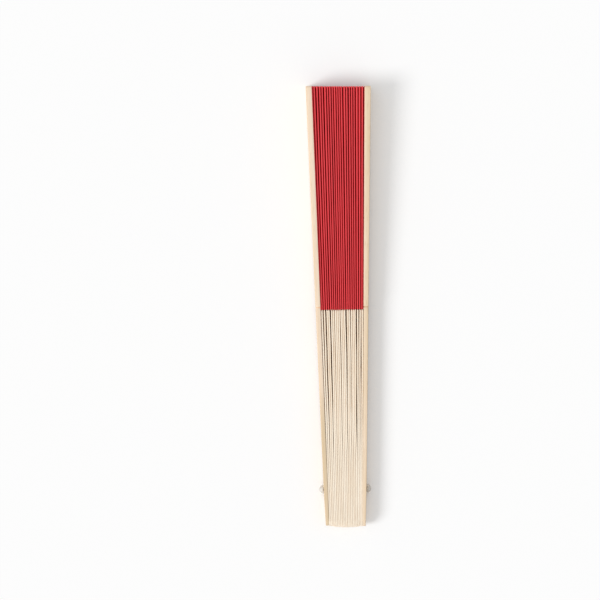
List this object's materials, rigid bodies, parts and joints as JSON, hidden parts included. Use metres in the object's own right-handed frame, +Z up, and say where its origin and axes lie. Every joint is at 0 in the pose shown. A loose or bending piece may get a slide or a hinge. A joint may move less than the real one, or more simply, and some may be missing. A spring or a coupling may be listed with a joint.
{
  "type": "folding hand fan",
  "caption": "Closed folding hand fan of bamboo sticks on one rivet, with a pleated red cloth leaf; it opens to nearly a half circle.",
  "frame": {"origin": "on the surface that the closed fan stands on, under the middle of its length and of its thickness", "axes": "+Y along the sticks towards the leaf's outer edge, +X along the rivet towards guard_back, +Z up across the sticks' width, the way the sticks open"},
  "size_m": [0.0336, 0.23, 0.0167],
  "materials": {
    "guard_bamboo": "satin",
    "rib_bamboo": "matte",
    "leaf_cloth": "matte",
    "rivet_plastic": "gloss"
  },
  "bodies": {
    "front_guard": {"guard_front": "guard_bamboo", "leaf_pleat_00": "leaf_cloth", "pivot_rivet": "rivet_plastic"},
    "stick_01": {"rib_01": "rib_bamboo", "leaf_pleat_01": "leaf_cloth"},
    "stick_02": {"rib_02": "rib_bamboo", "leaf_pleat_02": "leaf_cloth"},
    "stick_03": {"rib_03": "rib_bamboo", "leaf_pleat_03": "leaf_cloth"},
    "stick_04": {"rib_04": "rib_bamboo", "leaf_pleat_04": "leaf_cloth"},
    "stick_05": {"rib_05": "rib_bamboo", "leaf_pleat_05": "leaf_cloth"},
    "stick_06": {"rib_06": "rib_bamboo", "leaf_pleat_06": "leaf_cloth"},
    "stick_07": {"rib_07": "rib_bamboo", "leaf_pleat_07": "leaf_cloth"},
    "stick_08": {"rib_08": "rib_bamboo", "leaf_pleat_08": "leaf_cloth"},
    "stick_09": {"rib_09": "rib_bamboo", "leaf_pleat_09": "leaf_cloth"},
    "stick_10": {"rib_10": "rib_bamboo", "leaf_pleat_10": "leaf_cloth"},
    "stick_11": {"rib_11": "rib_bamboo", "leaf_pleat_11": "leaf_cloth"},
    "stick_12": {"rib_12": "rib_bamboo", "leaf_pleat_12": "leaf_cloth"},
    "stick_13": {"rib_13": "rib_bamboo", "leaf_pleat_13": "leaf_cloth"},
    "stick_14": {"rib_14": "rib_bamboo", "leaf_pleat_14": "leaf_cloth"},
    "stick_15": {"rib_15": "rib_bamboo", "leaf_pleat_15": "leaf_cloth"},
    "stick_16": {"rib_16": "rib_bamboo", "leaf_pleat_16": "leaf_cloth"},
    "stick_17": {"rib_17": "rib_bamboo", "leaf_pleat_17": "leaf_cloth"},
    "stick_18": {"rib_18": "rib_bamboo", "leaf_pleat_18": "leaf_cloth"},
    "stick_19": {"rib_19": "rib_bamboo", "leaf_pleat_19": "leaf_cloth"},
    "stick_20": {"rib_20": "rib_bamboo", "leaf_pleat_20": "leaf_cloth"},
    "back_guard": {"guard_back": "guard_bamboo", "leaf_end_panel": "leaf_cloth"}
  },
  "joints": [
    {"name": "fold_01", "type": "hinge", "parent": "front_guard", "child": "stick_01", "pos_m": [0, -0.09455, 0.00484], "axis": [1, 0, 0], "range_deg": [0, 8.4]},
    {"name": "fold_02", "type": "hinge", "parent": "stick_01", "child": "stick_02", "pos_m": [0, -0.09455, 0.00484], "axis": [1, 0, 0], "range_deg": [0, 8.4]},
    {"name": "fold_03", "type": "hinge", "parent": "stick_02", "child": "stick_03", "pos_m": [0, -0.09455, 0.00484], "axis": [1, 0, 0], "range_deg": [0, 8.4]},
    {"name": "fold_04", "type": "hinge", "parent": "stick_03", "child": "stick_04", "pos_m": [0, -0.09455, 0.00484], "axis": [1, 0, 0], "range_deg": [0, 8.4]},
    {"name": "fold_05", "type": "hinge", "parent": "stick_04", "child": "stick_05", "pos_m": [0, -0.09455, 0.00484], "axis": [1, 0, 0], "range_deg": [0, 8.4]},
    {"name": "fold_06", "type": "hinge", "parent": "stick_05", "child": "stick_06", "pos_m": [0, -0.09455, 0.00484], "axis": [1, 0, 0], "range_deg": [0, 8.4]},
    {"name": "fold_07", "type": "hinge", "parent": "stick_06", "child": "stick_07", "pos_m": [0, -0.09455, 0.00484], "axis": [1, 0, 0], "range_deg": [0, 8.4]},
    {"name": "fold_08", "type": "hinge", "parent": "stick_07", "child": "stick_08", "pos_m": [0, -0.09455, 0.00484], "axis": [1, 0, 0], "range_deg": [0, 8.4]},
    {"name": "fold_09", "type": "hinge", "parent": "stick_08", "child": "stick_09", "pos_m": [0, -0.09455, 0.00484], "axis": [1, 0, 0], "range_deg": [0, 8.4]},
    {"name": "fold_10", "type": "hinge", "parent": "stick_09", "child": "stick_10", "pos_m": [0, -0.09455, 0.00484], "axis": [1, 0, 0], "range_deg": [0, 8.4]},
    {"name": "fold_11", "type": "hinge", "parent": "stick_10", "child": "stick_11", "pos_m": [0, -0.09455, 0.00484], "axis": [1, 0, 0], "range_deg": [0, 8.4]},
    {"name": "fold_12", "type": "hinge", "parent": "stick_11", "child": "stick_12", "pos_m": [0, -0.09455, 0.00484], "axis": [1, 0, 0], "range_deg": [0, 8.4]},
    {"name": "fold_13", "type": "hinge", "parent": "stick_12", "child": "stick_13", "pos_m": [0, -0.09455, 0.00484], "axis": [1, 0, 0], "range_deg": [0, 8.4]},
    {"name": "fold_14", "type": "hinge", "parent": "stick_13", "child": "stick_14", "pos_m": [0, -0.09455, 0.00484], "axis": [1, 0, 0], "range_deg": [0, 8.4]},
    {"name": "fold_15", "type": "hinge", "parent": "stick_14", "child": "stick_15", "pos_m": [0, -0.09455, 0.00484], "axis": [1, 0, 0], "range_deg": [0, 8.4]},
    {"name": "fold_16", "type": "hinge", "parent": "stick_15", "child": "stick_16", "pos_m": [0, -0.09455, 0.00484], "axis": [1, 0, 0], "range_deg": [0, 8.4]},
    {"name": "fold_17", "type": "hinge", "parent": "stick_16", "child": "stick_17", "pos_m": [0, -0.09455, 0.00484], "axis": [1, 0, 0], "range_deg": [0, 8.4]},
    {"name": "fold_18", "type": "hinge", "parent": "stick_17", "child": "stick_18", "pos_m": [0, -0.09455, 0.00484], "axis": [1, 0, 0], "range_deg": [0, 8.4]},
    {"name": "fold_19", "type": "hinge", "parent": "stick_18", "child": "stick_19", "pos_m": [0, -0.09455, 0.00484], "axis": [1, 0, 0], "range_deg": [0, 8.4]},
    {"name": "fold_20", "type": "hinge", "parent": "stick_19", "child": "stick_20", "pos_m": [0, -0.09455, 0.00484], "axis": [1, 0, 0], "range_deg": [0, 8.4]},
    {"name": "fold_21", "type": "hinge", "parent": "stick_20", "child": "back_guard", "pos_m": [0, -0.09455, 0.00484], "axis": [1, 0, 0], "range_deg": [0, 8.4]}
  ],
  "couplings": [
    {"joint": "fold_02", "follows": "fold_01", "ratio": 1},
    {"joint": "fold_03", "follows": "fold_01", "ratio": 1},
    {"joint": "fold_04", "follows": "fold_01", "ratio": 1},
    {"joint": "fold_05", "follows": "fold_01", "ratio": 1},
    {"joint": "fold_06", "follows": "fold_01", "ratio": 1},
    {"joint": "fold_07", "follows": "fold_01", "ratio": 1},
    {"joint": "fold_08", "follows": "fold_01", "ratio": 1},
    {"joint": "fold_09", "follows": "fold_01", "ratio": 1},
    {"joint": "fold_10", "follows": "fold_01", "ratio": 1},
    {"joint": "fold_11", "follows": "fold_01", "ratio": 1},
    {"joint": "fold_12", "follows": "fold_01", "ratio": 1},
    {"joint": "fold_13", "follows": "fold_01", "ratio": 1},
    {"joint": "fold_14", "follows": "fold_01", "ratio": 1},
    {"joint": "fold_15", "follows": "fold_01", "ratio": 1},
    {"joint": "fold_16", "follows": "fold_01", "ratio": 1},
    {"joint": "fold_17", "follows": "fold_01", "ratio": 1},
    {"joint": "fold_18", "follows": "fold_01", "ratio": 1},
    {"joint": "fold_19", "follows": "fold_01", "ratio": 1},
    {"joint": "fold_20", "follows": "fold_01", "ratio": 1},
    {"joint": "fold_21", "follows": "fold_01", "ratio": 1}
  ]
}
